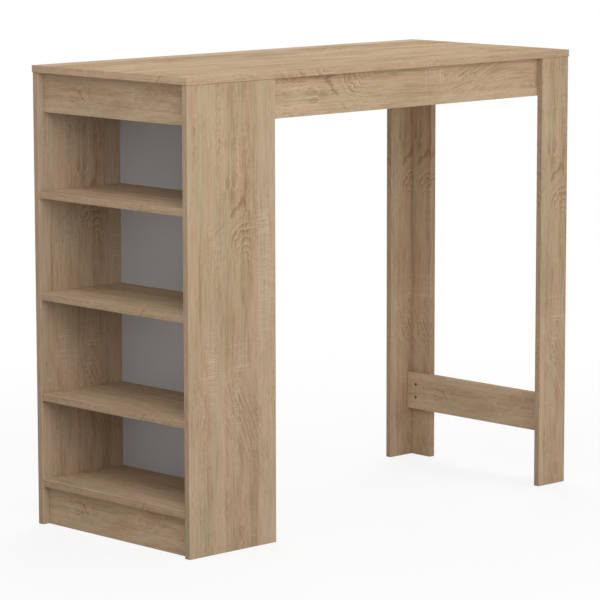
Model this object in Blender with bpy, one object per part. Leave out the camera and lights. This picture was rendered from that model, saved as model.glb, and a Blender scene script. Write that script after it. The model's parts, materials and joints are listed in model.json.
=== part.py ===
"""A bar table with an open shelf unit at one end, in metres.

X runs along the tabletop, from the shelf unit at -X to the two corner legs at +X. Y runs across it,
from the front at -Y to the rear, and Z up from the floor. The origin lies on the floor under the
centre of the tabletop.
"""
import math

import bmesh
import bpy
from mathutils import Matrix, Vector

# Overall sizes
HEIGHT = 1.035  # floor to the upper face of the tabletop
LENGTH = 1.205  # tabletop, along X
CLEAR_WIDTH = 0.480  # between the inner faces of the side panels, along Y
BOARD = 0.016  # thickness of every board but the back panel
TOP_OVERHANG = 0.0015  # tabletop beyond the panels and legs, all round
EDGE_EASE = 0.0007  # rounded edges of the banded boards
SEAM = 0.0003  # between boards that meet

# Shelf unit
SIDE_PANEL_WIDTH = 0.255
FRONT_SETBACK = 0.017  # top rail and plinth, behind the open edges of the side panels
SHELF_SETBACK = 0.001  # shelves, behind the same edges
BOTTOM_SHELF_RISE = 0.0875  # floor to the underside of the bottom shelf
LOWEST_BAY = 0.1797  # clear height over the bottom shelf
TOP_BAY = 0.2633  # clear height from the upper shelf to the tabletop
BACK_THICKNESS = 0.003
BACK_SETBACK = 0.0136  # back panel, in from the inner edges of the side panels
BACK_RISE = 0.003  # floor to the lower edge of the back panel
GROOVE_DEPTH = 0.006  # grooves in the side panels that hold the back panel

# Belt under the tabletop, legs and stretcher
BELT_HEIGHT = 0.088
LEG_FACE_WIDTH = 0.090  # leg board that lies along the table
LEG_RETURN_WIDTH = 0.064  # leg board that turns the corner
STRETCHER_RISE = 0.119  # floor to the lower edge of the stretcher
STRETCHER_HEIGHT = 0.091

# Fasteners
FIT = 0.0003  # round a fastener in its hole, and round the back panel in its grooves
CHAMFER = 0.0008  # ends of pins and dowels
SCREW_DIAMETER = 0.004
SCREW_HEAD = 0.0076
SCREW_RIM = 0.0005  # straight rim of the countersunk head
SCREW_SINK = 0.0006  # head below the face of its board
SCREW_BITE = 0.010  # into the second board
SCREW_INSET = 0.0295  # from the end of the board that it holds
SCREW_SPACING = 0.0325  # between the two screws of a joint
DRIVE_SPAN = 0.0042  # cross recess, over its arms
DRIVE_ARM = 0.0011
DRIVE_DEPTH = 0.0016
DRIVE_TAPER = 0.6  # floor of the recess against its mouth
PIN_DIAMETER = 0.005  # shelf pin, in the side panel
PIN_BITE = 0.009
PIN_HEAD = 0.007  # shelf pin, under the shelf
PIN_HEAD_LENGTH = 0.008
PIN_INSET = 0.050  # from the open and the inner edge of the shelf
CAM_DIAMETER = 0.0145
CAM_WALL = 0.003  # board left behind a cam
CAM_DISTANCE = 0.034  # end of the board to the centre of the cam
CAM_SLOT_SPAN = 0.009  # cross slot in the face of the cam
CAM_SLOT_ARM = 0.0014
CAM_SLOT_DEPTH = 0.002
BOLT_THREAD = 0.005
BOLT_BITE = 0.011
BOLT_STEM = 0.007
BOLT_NECK = 0.004
BOLT_HEAD = 0.0062
BOLT_HEAD_LENGTH = 0.004
DOWEL_DIAMETER = 0.008
DOWEL_LENGTH = 0.030
DOWEL_BITE = 0.010  # into the side panel
BRACKET_LEAF = 0.025
BRACKET_WIDTH = 0.016
BRACKET_STEEL = 0.0018
BRACKET_BEND = 0.0015  # inner radius
BRACKET_HOLE_REACH = 0.016  # corner to the hole
BRACKET_SPACING = 0.500  # between the two brackets of an apron
BRACKET_SCREW = 0.0035
BRACKET_SCREW_BITE = 0.011

# Facets
EASE_SEGMENTS = 1
ROUND_SIDES = 12
CAM_SIDES = 24
BEND_STEPS = 3
SMOOTH_ANGLE = math.radians(40)
OVERCUT = 0.002  # cutters beyond the face they enter
MERGE = 0.000001

# Planes that the pieces share
LEFT = -LENGTH / 2 + TOP_OVERHANG
RIGHT = LENGTH / 2 - TOP_OVERHANG
TOP_UNDERSIDE = HEIGHT - BOARD
PANEL_TOP = TOP_UNDERSIDE - SEAM
BELT_BOTTOM = PANEL_TOP - BELT_HEIGHT
BELT_MIDDLE = (PANEL_TOP + BELT_BOTTOM) / 2
INNER = CLEAR_WIDTH / 2
OUTER = INNER + BOARD
FILL = INNER - SEAM  # half length of the boards between the side panels
APRON_FACE = FILL - BOARD
RAIL_FRONT = LEFT + FRONT_SETBACK
RAIL_BACK = RAIL_FRONT + BOARD
BACK_FACE = LEFT + SIDE_PANEL_WIDTH - BACK_SETBACK - BACK_THICKNESS
SHELF_OPEN_EDGE = LEFT + SHELF_SETBACK
SHELF_INNER_EDGE = BACK_FACE - SEAM
RETURN_FACE = RIGHT - BOARD
END_BACK = RETURN_FACE - SEAM
END_FACE = END_BACK - BOARD
APRON_START = RAIL_BACK + SEAM
APRON_END = END_FACE - SEAM
STRETCHER_MIDDLE = STRETCHER_RISE + STRETCHER_HEIGHT / 2
LOWER_SHELF_RISE = BOTTOM_SHELF_RISE + BOARD + LOWEST_BAY
UPPER_SHELF_RISE = TOP_UNDERSIDE - TOP_BAY - BOARD
SHELF_RISES = {
    "shelf_lower": LOWER_SHELF_RISE,
    "shelf_middle": (LOWER_SHELF_RISE + UPPER_SHELF_RISE) / 2,
    "shelf_upper": UPPER_SHELF_RISE,
}
SIDES = {"front": -1, "rear": 1}

ALONG_X = Vector((1, 0, 0))
ALONG_Y = Vector((0, 1, 0))
ALONG_Z = Vector((0, 0, 1))


def clear_scene():
    for item in list(bpy.data.objects):
        bpy.data.objects.remove(item)


def finish_material(name, colour, roughness, metallic=0.0):
    """A plain finish; the colour is linear."""
    material = bpy.data.materials.new(name)
    material.use_nodes = True
    shader = material.node_tree.nodes["Principled BSDF"]
    shader.inputs["Base Color"].default_value = (*colour, 1.0)
    shader.inputs["Roughness"].default_value = roughness
    shader.inputs["Metallic"].default_value = metallic
    return material


def mesh_from(shape, name, smooth=False):
    bmesh.ops.recalc_face_normals(shape, faces=shape.faces)
    mesh = bpy.data.meshes.new(name)
    shape.to_mesh(mesh)
    shape.free()
    if smooth:
        mesh.shade_smooth()
        mesh.set_sharp_from_angle(angle=SMOOTH_ANGLE)
    return mesh


def axes_at(point, z_axis, x_axis):
    """A frame at a point, with the given Z and X axes."""
    columns = (x_axis, z_axis.cross(x_axis), z_axis, Vector(point))
    return Matrix([[column[row] for column in columns] for row in range(3)] + [[0, 0, 0, 1]])


def place(name, mesh, material, matrix):
    """A named piece of the table."""
    piece = bpy.data.objects.new(name, mesh)
    bpy.context.collection.objects.link(piece)
    piece.data.materials.clear()
    piece.data.materials.append(material)
    piece.parent = bpy.data.objects["bar_table"]
    piece.matrix_world = matrix
    return piece


def cut(target, label, mesh, matrix):
    """Takes a shape out of a piece."""
    cutter = bpy.data.objects.new(f"cut_{label}_{target.name}", mesh)
    bpy.context.collection.objects.link(cutter)
    cutter.hide_render = True
    cutter.display_type = "WIRE"
    cutter.parent = bpy.data.objects["bar_table"]
    cutter.matrix_world = matrix
    modifier = target.modifiers.new(label, "BOOLEAN")
    modifier.operation = "DIFFERENCE"
    modifier.solver = "EXACT"
    modifier.object = cutter


def turned(profile, sides=ROUND_SIDES):
    """A shape turned about Z from (radius, height) points that start and end on the axis."""
    shape = bmesh.new()
    points = [shape.verts.new((radius, 0, height)) for radius, height in profile]
    edges = [shape.edges.new(pair) for pair in zip(points, points[1:])]
    bmesh.ops.spin(shape, geom=points + edges, cent=(0, 0, 0), axis=ALONG_Z, angle=math.tau, steps=sides)
    bmesh.ops.remove_doubles(shape, verts=shape.verts, dist=MERGE)
    return shape


def rod(radius, low, high):
    """Profile of a plain round hole or rod."""
    return [(0, low), (radius, low), (radius, high), (0, high)]


def chamfered_start(radius, low):
    """Lower end of a rod's profile."""
    return [(0, low), (radius - CHAMFER, low), (radius, low + CHAMFER)]


def chamfered_end(radius, high):
    """Upper end of a rod's profile."""
    return [(radius, high - CHAMFER), (radius - CHAMFER, high), (0, high)]


def prism(outline, low, high, narrowing=1.0):
    """An outline in XY, drawn along Z, which narrows towards its high end."""
    shape = bmesh.new()
    base = shape.faces.new([shape.verts.new((x, y, low)) for x, y in outline])
    drawn = bmesh.ops.extrude_face_region(shape, geom=[base], use_keep_orig=True)
    tip = [item for item in drawn["geom"] if isinstance(item, bmesh.types.BMVert)]
    for point in tip:
        point.co = (point.co.x * narrowing, point.co.y * narrowing, high)
    return shape


def cross_outline(span, arm):
    """A plus sign, anticlockwise."""
    reach = span / 2
    half = arm / 2
    corner = [(half, half), (half, reach), (-half, reach)]
    outline = []
    for quarter in range(4):
        turn = Matrix.Rotation(quarter * math.pi / 2, 2)
        outline += [turn @ Vector(point) for point in corner]
    return outline


def block(x_span, y_span, z_span):
    """A box that fills three spans, with its centre."""
    spans = [sorted(span) for span in (x_span, y_span, z_span)]
    size = Vector([high - low for low, high in spans])
    centre = Vector([(low + high) / 2 for low, high in spans])
    shape = bmesh.new()
    bmesh.ops.create_cube(shape, size=1.0)
    bmesh.ops.scale(shape, vec=size, verts=shape.verts)
    return shape, centre


def board(name, x_span, y_span, z_span):
    """A faced board with eased, banded edges."""
    shape, centre = block(x_span, y_span, z_span)
    bmesh.ops.bevel(
        shape, geom=shape.edges[:], offset=EDGE_EASE, segments=EASE_SEGMENTS, profile=0.5, affect="EDGES"
    )
    return place(name, mesh_from(shape, name), bpy.data.materials["oak_decor"], Matrix.Translation(centre))


def make_materials():
    finish_material("oak_decor", (0.56, 0.40, 0.25), 0.45)
    finish_material("white_hardboard", (0.66, 0.65, 0.66), 0.6)
    finish_material("zinc_plate", (0.62, 0.62, 0.60), 0.35, 1.0)
    finish_material("dark_steel", (0.16, 0.14, 0.12), 0.4, 1.0)
    finish_material("nickel_plate", (0.66, 0.63, 0.58), 0.25, 1.0)
    finish_material("cast_zinc", (0.50, 0.50, 0.49), 0.45, 1.0)
    finish_material("beech", (0.62, 0.42, 0.25), 0.7)


def make_tabletop():
    half_width = OUTER + TOP_OVERHANG
    board("tabletop", (-LENGTH / 2, LENGTH / 2), (-half_width, half_width), (TOP_UNDERSIDE, HEIGHT))


def make_side_panels():
    for side, sign in SIDES.items():
        width = (LEFT, LEFT + SIDE_PANEL_WIDTH)
        panel = board(f"side_panel_{side}", width, (sign * INNER, sign * OUTER), (0, PANEL_TOP))
        shape, centre = block(
            (BACK_FACE - FIT, BACK_FACE + BACK_THICKNESS + FIT),
            (sign * (INNER - OVERCUT), sign * (INNER + GROOVE_DEPTH)),
            (-OVERCUT, PANEL_TOP + OVERCUT),
        )
        cut(panel, "groove", mesh_from(shape, "groove"), Matrix.Translation(centre))


def make_shelves():
    rises = {"bottom_shelf": BOTTOM_SHELF_RISE, **SHELF_RISES}
    for name, rise in rises.items():
        board(name, (SHELF_OPEN_EDGE, SHELF_INNER_EDGE), (-FILL, FILL), (rise, rise + BOARD))


def make_plinth():
    board("plinth", (RAIL_FRONT, RAIL_BACK), (-FILL, FILL), (0, BOTTOM_SHELF_RISE - SEAM))


def make_back_panel():
    """A hardboard sheet in the grooves, cut away at its upper corners round the aprons."""
    wide = INNER + GROOVE_DEPTH - FIT
    narrow = APRON_FACE - SEAM
    shoulder = BELT_BOTTOM - SEAM
    right_half = [(wide, BACK_RISE), (wide, shoulder), (narrow, shoulder), (narrow, PANEL_TOP)]
    left_half = [(-across, up) for across, up in reversed(right_half)]
    shape = prism(right_half + left_half, 0, BACK_THICKNESS)
    standing = axes_at((BACK_FACE, 0, 0), ALONG_X, ALONG_Y)
    place("back_panel", mesh_from(shape, "back_panel"), bpy.data.materials["white_hardboard"], standing)


def make_belt():
    height = (BELT_BOTTOM, PANEL_TOP)
    board("top_rail", (RAIL_FRONT, RAIL_BACK), (-FILL, FILL), height)
    board("end_apron", (END_FACE, END_BACK), (-FILL, FILL), height)
    for side, sign in SIDES.items():
        board(f"apron_{side}", (APRON_START, APRON_END), (sign * APRON_FACE, sign * FILL), height)


def make_legs():
    height = (0, PANEL_TOP)
    for side, sign in SIDES.items():
        board(f"leg_{side}_face", (RIGHT - LEG_FACE_WIDTH, RIGHT), (sign * INNER, sign * OUTER), height)
        inner_edge = INNER - LEG_RETURN_WIDTH
        board(f"leg_{side}_return", (RETURN_FACE, RIGHT), (sign * inner_edge, sign * FILL), height)


def make_stretcher():
    height = (STRETCHER_RISE, STRETCHER_RISE + STRETCHER_HEIGHT)
    board("stretcher", (END_FACE, END_BACK), (-FILL, FILL), height)


def screw_mesh():
    """Countersunk wood screw along +Z, from the face of the board that it is driven through."""
    shank = SCREW_DIAMETER / 2
    head = SCREW_HEAD / 2
    cone_start = SCREW_SINK + SCREW_RIM
    tip = BOARD + SEAM + SCREW_BITE
    profile = [
        (0, SCREW_SINK),
        (head, SCREW_SINK),
        (head, cone_start),
        (shank, cone_start + head - shank),
        (shank, tip - SCREW_DIAMETER),
        (0, tip),
    ]
    return mesh_from(turned(profile), "screw", smooth=True)


def screw_hole_mesh():
    """Countersunk hole through the first board."""
    shank = SCREW_DIAMETER / 2 + FIT
    head = SCREW_HEAD / 2 + FIT
    cone_start = SCREW_SINK + SCREW_RIM
    profile = [
        (0, -OVERCUT),
        (head, -OVERCUT),
        (head, cone_start),
        (shank, cone_start + head - shank),
        (shank, BOARD + OVERCUT),
        (0, BOARD + OVERCUT),
    ]
    return mesh_from(turned(profile), "screw_hole")


def screw_places():
    """Each screw's name, the board it is driven through, the board it bites into, and its frame."""
    levels = {"upper": SCREW_SPACING / 2, "lower": -SCREW_SPACING / 2}
    for level, offset in levels.items():
        for side, sign in SIDES.items():
            ends = {
                f"side_panel_{side}": APRON_START + SCREW_INSET,
                f"leg_{side}_face": APRON_END - SCREW_INSET,
            }
            for second, along in ends.items():
                point = (along, sign * APRON_FACE, BELT_MIDDLE + offset)
                frame = axes_at(point, sign * ALONG_Y, ALONG_X)
                yield f"screw_{second}_{level}", f"apron_{side}", second, frame
            for first, middle in {"end_apron": BELT_MIDDLE, "stretcher": STRETCHER_MIDDLE}.items():
                point = (END_FACE, sign * (FILL - SCREW_INSET), middle + offset)
                frame = axes_at(point, ALONG_X, ALONG_Y)
                yield f"screw_{first}_{side}_{level}", first, f"leg_{side}_return", frame


def make_screws():
    body = screw_mesh()
    recess = cross_outline(DRIVE_SPAN, DRIVE_ARM)
    drive = mesh_from(prism(recess, SCREW_SINK - FIT, SCREW_SINK + DRIVE_DEPTH, DRIVE_TAPER), "drive")
    hole = screw_hole_mesh()
    tip = BOARD + SEAM + SCREW_BITE
    pilot = mesh_from(turned(rod(SCREW_DIAMETER / 2 + FIT, BOARD - OVERCUT, tip + FIT)), "pilot")
    for name, first, second, frame in screw_places():
        screw = place(name, body, bpy.data.materials["dark_steel"], frame)
        cut(screw, "drive", drive, frame)
        cut(bpy.data.objects[first], name, hole, frame)
        cut(bpy.data.objects[second], name, pilot, frame)


def make_shelf_pins():
    """Four pins under each of the three upper shelves."""
    peg = PIN_DIAMETER / 2
    head = PIN_HEAD / 2
    shoulder = [(peg, SEAM), (head, SEAM)]
    profile = chamfered_start(peg, -PIN_BITE) + shoulder + chamfered_end(head, SEAM + PIN_HEAD_LENGTH)
    body = mesh_from(turned(profile), "pin", smooth=True)
    hole = mesh_from(turned(rod(peg + FIT, -PIN_BITE - FIT, OVERCUT)), "pin_hole")
    places = {"open": SHELF_OPEN_EDGE + PIN_INSET, "inner": SHELF_INNER_EDGE - PIN_INSET}
    for shelf, rise in SHELF_RISES.items():
        for side, sign in SIDES.items():
            panel = bpy.data.objects[f"side_panel_{side}"]
            for end, along in places.items():
                name = f"pin_{shelf}_{side}_{end}"
                frame = axes_at((along, sign * INNER, rise - SEAM - head), -sign * ALONG_Y, ALONG_X)
                place(name, body, bpy.data.materials["nickel_plate"], frame)
                cut(panel, name, hole, frame)


def cam_mesh():
    """Cam along +Z, from the face of its board, with the bolt coming in along X."""
    profile = rod(CAM_DIAMETER / 2, 0, BOARD - CAM_WALL - FIT)
    return mesh_from(turned(profile, CAM_SIDES), "cam", smooth=True)


def cam_channel_mesh():
    """Keyhole that lets the cam slip over the head of the bolt and grip it behind the neck."""
    pocket = BOLT_HEAD_LENGTH / 2 + FIT
    wide = BOLT_HEAD / 2 + FIT
    narrow = BOLT_NECK / 2 + FIT
    mouth = CAM_DIAMETER / 2 + OVERCUT
    outline = [
        (-pocket, -wide),
        (pocket, -wide),
        (pocket, -narrow),
        (mouth, -narrow),
        (mouth, narrow),
        (pocket, narrow),
        (pocket, wide),
        (-pocket, wide),
    ]
    return mesh_from(prism(outline, BOARD / 2 - wide, BOARD), "cam_channel")


def bolt_mesh():
    """Cam bolt along +Z, from the face of the side panel that it is screwed into."""
    reach = SEAM + CAM_DISTANCE
    stem_end = reach - CAM_DIAMETER / 2 - 2 * FIT
    head_start = reach - BOLT_HEAD_LENGTH / 2
    head_end = reach + BOLT_HEAD_LENGTH / 2
    profile = [
        (0, -BOLT_BITE),
        (BOLT_THREAD / 2, -BOLT_BITE),
        (BOLT_THREAD / 2, FIT),
        (BOLT_STEM / 2, FIT),
        (BOLT_STEM / 2, stem_end),
        (BOLT_NECK / 2, stem_end),
        (BOLT_NECK / 2, head_start),
        (BOLT_HEAD / 2, head_start),
        (BOLT_HEAD / 2, head_end),
        (0, head_end),
    ]
    return mesh_from(turned(profile), "cam_bolt", smooth=True)


def make_cam_joints():
    """A cam and its bolt at each end of the top rail and the bottom shelf."""
    cam_body = cam_mesh()
    channel = cam_channel_mesh()
    slot = mesh_from(prism(cross_outline(CAM_SLOT_SPAN, CAM_SLOT_ARM), -OVERCUT, CAM_SLOT_DEPTH), "cam_slot")
    drilling = rod(CAM_DIAMETER / 2 + FIT, -OVERCUT, BOARD - CAM_WALL)
    cam_bore = mesh_from(turned(drilling, CAM_SIDES), "cam_bore")
    bolt_body = bolt_mesh()
    bolt_bore = mesh_from(turned(rod(BOLT_STEM / 2 + FIT, -OVERCUT, SEAM + CAM_DISTANCE)), "bolt_bore")
    thread_hole = mesh_from(turned(rod(BOLT_THREAD / 2 + FIT, -BOLT_BITE - FIT, OVERCUT)), "thread_hole")
    shelf_middle = (SHELF_OPEN_EDGE + SHELF_INNER_EDGE) / 2
    joints = {
        "top_rail": (Vector((RAIL_BACK, 0, BELT_MIDDLE)), -ALONG_X),
        "bottom_shelf": (Vector((shelf_middle, 0, BOTTOM_SHELF_RISE)), ALONG_Z),
    }
    for carrier_name, (face, inward) in joints.items():
        carrier = bpy.data.objects[carrier_name]
        for side, sign in SIDES.items():
            outward = sign * ALONG_Y
            cam_frame = axes_at(face + (FILL - CAM_DISTANCE) * outward, inward, outward)
            cam = place(f"cam_{carrier_name}_{side}", cam_body, bpy.data.materials["cast_zinc"], cam_frame)
            cut(cam, "channel", channel, cam_frame)
            cut(cam, "slot", slot, cam_frame)
            cut(carrier, f"cam_{side}", cam_bore, cam_frame)
            bolt_frame = axes_at(face + BOARD / 2 * inward + INNER * outward, -outward, inward)
            name = f"cam_bolt_{carrier_name}_{side}"
            place(name, bolt_body, bpy.data.materials["zinc_plate"], bolt_frame)
            cut(carrier, f"bolt_{side}", bolt_bore, bolt_frame)
            cut(bpy.data.objects[f"side_panel_{side}"], name, thread_hole, bolt_frame)


def make_plinth_dowels():
    radius = DOWEL_DIAMETER / 2
    far_end = DOWEL_LENGTH - DOWEL_BITE
    profile = chamfered_start(radius, -DOWEL_BITE) + chamfered_end(radius, far_end)
    body = mesh_from(turned(profile), "dowel", smooth=True)
    hole = mesh_from(turned(rod(radius + FIT, -DOWEL_BITE - FIT, far_end + FIT)), "dowel_hole")
    along = (RAIL_FRONT + RAIL_BACK) / 2
    for side, sign in SIDES.items():
        name = f"dowel_plinth_{side}"
        frame = axes_at((along, sign * INNER, BOTTOM_SHELF_RISE / 2), -sign * ALONG_Y, ALONG_X)
        place(name, body, bpy.data.materials["beech"], frame)
        for drilled in ("plinth", f"side_panel_{side}"):
            cut(bpy.data.objects[drilled], name, hole, frame)


def bracket_mesh():
    """Bent steel angle: X runs away from the apron, Y down from the tabletop, and Z over its width."""
    outer_bend = BRACKET_BEND + BRACKET_STEEL
    angles = [math.pi + step / BEND_STEPS * math.pi / 2 for step in range(BEND_STEPS + 1)]
    outer = [
        (outer_bend * (1 + math.cos(angle)), outer_bend * (1 + math.sin(angle))) for angle in angles
    ]
    inner = [
        (outer_bend + BRACKET_BEND * math.cos(angle), outer_bend + BRACKET_BEND * math.sin(angle))
        for angle in reversed(angles)
    ]
    outline = [(0, BRACKET_LEAF), *outer, (BRACKET_LEAF, 0), (BRACKET_LEAF, BRACKET_STEEL)]
    outline += [*inner, (BRACKET_STEEL, BRACKET_LEAF)]
    return mesh_from(prism(outline, -BRACKET_WIDTH / 2, BRACKET_WIDTH / 2), "bracket")


def make_brackets():
    """Two angles on each apron hold the tabletop down."""
    body = bracket_mesh()
    drilling = rod(BRACKET_SCREW / 2 + FIT, -BRACKET_SCREW_BITE, BRACKET_STEEL + OVERCUT)
    hole = mesh_from(turned(drilling), "bracket_hole")
    for side, sign in SIDES.items():
        inward = -sign * ALONG_Y
        for number, along in ((1, -BRACKET_SPACING / 2), (2, BRACKET_SPACING / 2)):
            name = f"bracket_{side}_{number}"
            corner = Vector((along, sign * (APRON_FACE - SEAM), PANEL_TOP))
            frame = axes_at(corner, inward.cross(-ALONG_Z), inward)
            bracket = place(name, body, bpy.data.materials["zinc_plate"], frame)
            on_apron = axes_at(corner - BRACKET_HOLE_REACH * ALONG_Z, inward, ALONG_X)
            on_top = axes_at(corner + BRACKET_HOLE_REACH * inward, -ALONG_Z, ALONG_X)
            cut(bracket, "apron_hole", hole, on_apron)
            cut(bracket, "top_hole", hole, on_top)
            cut(bpy.data.objects[f"apron_{side}"], name, hole, on_apron)
            cut(bpy.data.objects["tabletop"], name, hole, on_top)


def main():
    clear_scene()
    root = bpy.data.objects.new("bar_table", None)
    bpy.context.collection.objects.link(root)
    make_materials()
    make_tabletop()
    make_side_panels()
    make_shelves()
    make_plinth()
    make_back_panel()
    make_belt()
    make_legs()
    make_stretcher()
    make_screws()
    make_shelf_pins()
    make_cam_joints()
    make_plinth_dowels()
    make_brackets()


main()
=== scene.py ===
"""Looks of the bar table: oak decor on the boards, white back panel, metal fittings, light and camera."""
import json
import math
from collections import namedtuple
from functools import reduce

import bmesh
import bpy
from mathutils import Matrix, Vector


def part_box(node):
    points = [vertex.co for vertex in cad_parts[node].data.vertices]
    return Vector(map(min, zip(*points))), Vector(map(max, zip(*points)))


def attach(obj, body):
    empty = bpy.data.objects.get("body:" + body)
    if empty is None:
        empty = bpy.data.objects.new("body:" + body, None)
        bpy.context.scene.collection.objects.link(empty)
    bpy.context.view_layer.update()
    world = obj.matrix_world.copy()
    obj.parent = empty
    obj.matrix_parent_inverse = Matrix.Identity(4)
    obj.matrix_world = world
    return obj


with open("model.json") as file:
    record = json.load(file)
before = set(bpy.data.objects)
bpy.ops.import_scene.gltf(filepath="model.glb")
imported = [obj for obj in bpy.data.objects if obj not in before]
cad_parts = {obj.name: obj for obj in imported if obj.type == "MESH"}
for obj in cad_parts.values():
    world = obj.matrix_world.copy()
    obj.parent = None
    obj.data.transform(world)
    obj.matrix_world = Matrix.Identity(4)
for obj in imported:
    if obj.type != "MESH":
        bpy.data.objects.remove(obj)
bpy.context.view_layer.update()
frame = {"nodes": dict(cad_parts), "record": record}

# Photograph's view: where the camera stands, how it is turned, and its lens
CAMERA_PLACE = Vector((-5.0916, -5.3063, 1.5672))
CAMERA_HEADING = math.radians(-43.654)  # about Z, from looking along +Y
CAMERA_DIP = math.radians(-8.451)
CAMERA_ROLL = math.radians(-0.109)
CAMERA_LENS = 193.35  # millimetres, as the sensor
CAMERA_SENSOR = 36.0

# Light: a white sky, and square lamps round the table. A lamp's bearing is in degrees about Z from +X, its
# height in degrees above level and its power in watts.
SKY_STRENGTH = 0.36
Lamp = namedtuple("Lamp", "bearing height power glint", defaults=(1.0,))
LAMPS = {
    "key": Lamp(236.0, 20.0, 37.0),
    "front": Lamp(300.0, 20.0, 18.0),
    "side": Lamp(185.0, 52.0, 21.0),
    "rear": Lamp(45.0, 45.0, 48.0, glint=0.0),
}
LAMP_SIZE = 2.0
LAMP_DISTANCE = 3.2
LAMP_AIM = Vector((0.0, 0.0, 0.6))
FLOOR_SPAN = 60.0
FLOOR_COLOUR = (0.56, 0.56, 0.56)  # for the light that it throws back on the table
FLOOR_SEEN = (0.95, 0.95, 0.95)  # for the camera, in the share that takes the shadow
SHADOW_SHARE = 0.16  # how much of the white background takes the table's shadow
SHADOW_FADE = (0.9, 2.4)  # metres from the table, over which that share ends

# Colours, linear
WHITE = (1.0, 1.0, 1.0)
OAK_PALE = (0.628, 0.480, 0.333)
OAK_MID = (0.526, 0.376, 0.240)
OAK_DARK = (0.326, 0.209, 0.118)
OLIVE_WOOD = (0.945, 1.0, 0.985)  # tints that the oak is multiplied by
GREEN_WOOD = (0.968, 1.0, 0.99)
PINK_WOOD = (1.032, 1.0, 1.01)
# White of the back panel's side in the bays, with a cooler tint painted in as the bays' shade
HARDBOARD_WHITE_AND_BAY_SHADE = (0.74, 0.78, 0.85)
HARDBOARD_REAR = (0.77, 0.78, 0.79)
HARDBOARD_MOTTLE = 0.94  # share of its white in the darker spots
BEECH_PALE = (0.66, 0.46, 0.28)
BEECH_DARK = (0.48, 0.31, 0.18)

# Surfaces: roughness, how much of it comes with pores or bumps, bump strengths, and spots per metre
OAK_ROUGHNESS = 0.70
OAK_PORE_ROUGHNESS = 0.12
OAK_BUMP = 0.25
HARDBOARD_ROUGHNESS = 0.5
HARDBOARD_PEEL_ROUGHNESS = 0.15
HARDBOARD_BUMP = 0.15
HARDBOARD_SPOTS = 14.0
HARDBOARD_PEEL = 600.0
BEECH_ROUGHNESS = 0.7
BEECH_FLECKS = Vector((1200.0, 150.0, 1200.0))  # the dowels lie along Y
BUMP_DEPTH = 0.0001  # metres
METAL_SPOTS = 900.0
METAL_DULL = 0.8  # share of its colour in the darker spots
Metal = namedtuple("Metal", "colour roughness spread")
METALS = {
    "dark_steel": Metal((0.20, 0.175, 0.15), 0.38, 0.10),
    "zinc_plate": Metal((0.68, 0.68, 0.66), 0.34, 0.10),
    "nickel_plate": Metal((0.70, 0.67, 0.62), 0.24, 0.08),
    "cast_zinc": Metal((0.52, 0.52, 0.51), 0.46, 0.10),
}

# The printed oak decor, in millimetres along and across its grain. It is made of planks, and the heart
# plank has a figure of loops and arches. Tones add up: 1 is pale oak, 0 middling and -1 dark.
PLANK_WIDTH = 97.0
PLANK_SEED = 0.37
PLANK_REACH = 0.20  # how far the planks' tones differ to both sides
PLANK_SHADES = {0.0: -0.30, 1.0: 0.18}  # by the plank's number
HEART_PLANK = 0.0
HEART_PLANK_START = 105.0
RING_MIDDLE = 0.45  # of a plank's width

# Noise in the decor: a seed, the length and width of its spots, its detail and roughness, and its reach
# to both sides of zero, which is a tone or, where the noise bends lines, in millimetres. Where it makes
# patches, their edge is the range of the noise over which they come up.
Grain = namedtuple("Grain", "seed length width detail roughness reach", defaults=(2.0, 0.5, 1.0))
STRIPE = Grain(0.0, 480.0, 19.0, roughness=0.4, reach=0.56)
STRIPE_LUCK = 9.0  # how much the seed differs between planks
STREAK = Grain(11.0, 95.0, 5.0, roughness=0.55, reach=0.68)
HAIR = Grain(12.2, 60.0, 2.4, detail=1.0, reach=0.64)
FIBRE = Grain(12.0, 26.0, 0.8, roughness=0.6, reach=0.40)
FIBRE_DEPTH = 0.5  # of a pore's
CLOUD = Grain(14.0, 190.0, 75.0, reach=0.55)
FLECK = Grain(12.5, 8.0, 3.0, detail=1.0, reach=1.05)
FLECK_PATCH = Grain(19.0, 210.0, 26.0)
FLECK_PATCH_EDGE = (0.44, 0.68)
FLECK_ELSEWHERE = 0.22
PORE = Grain(13.0, 9.0, 0.5, detail=1.0)
PORE_EDGE = (0.60, 0.72)
PORE_TONE = -0.16
OLIVE_PATCH = Grain(15.0, 420.0, 30.0, detail=1.0)
OLIVE_PATCH_EDGE = (0.46, 0.72)
PINK_PATCH = Grain(21.0, 320.0, 34.0)
PINK_PATCH_EDGE = (0.30, 0.70)

# Fan of slanted grain in the heart plank
FAN = (600.0, 850.0)  # along, where the grain starts and ends to swing across
FAN_SWING = 75.0
FAN_STROKE = Grain(16.0, 44.0, 4.2, detail=1.0, reach=0.48)
FAN_STROKES_FROM_START = 110.0
FAN_STROKES_REACH = 85.0

# Growth rings. The dark side and the pale line of a ring come and go over parts of its width.
RING_DARK = ((0.15, 0.72), (0.74, 0.86))
RING_DARK_TONE = 0.6
RING_PALE = ((0.76, 0.88), (0.90, 1.0))
RING_PALE_TONE = 0.9
RING_WIDTH = 13.0
RING_WANDER = Grain(1.0, 240.0, 90.0, reach=22.0)
RING_JITTER = Grain(2.2, 24.0, 9.0, detail=3.0, roughness=0.6, reach=4.0)
RING_FRAY = Grain(2.5, 30.0, 1.4, reach=1.6)
RING_UNREST = Grain(4.0, 110.0, 40.0, reach=16.0)
RING_ARCH = Grain(3.0, 340.0, 0.02, detail=1.0)  # across is the plank's luck here, from 0 to 1
RING_ARCH_START = 0.47
RING_ARCH_DEPTH = 330.0
RING_PATCH = Grain(5.0, 300.0, 80.0)
RING_PATCH_EDGE = (0.45, 0.70)
RING_PATCH_SHARE = 0.26
RING_SHARE = 0.05

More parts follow.
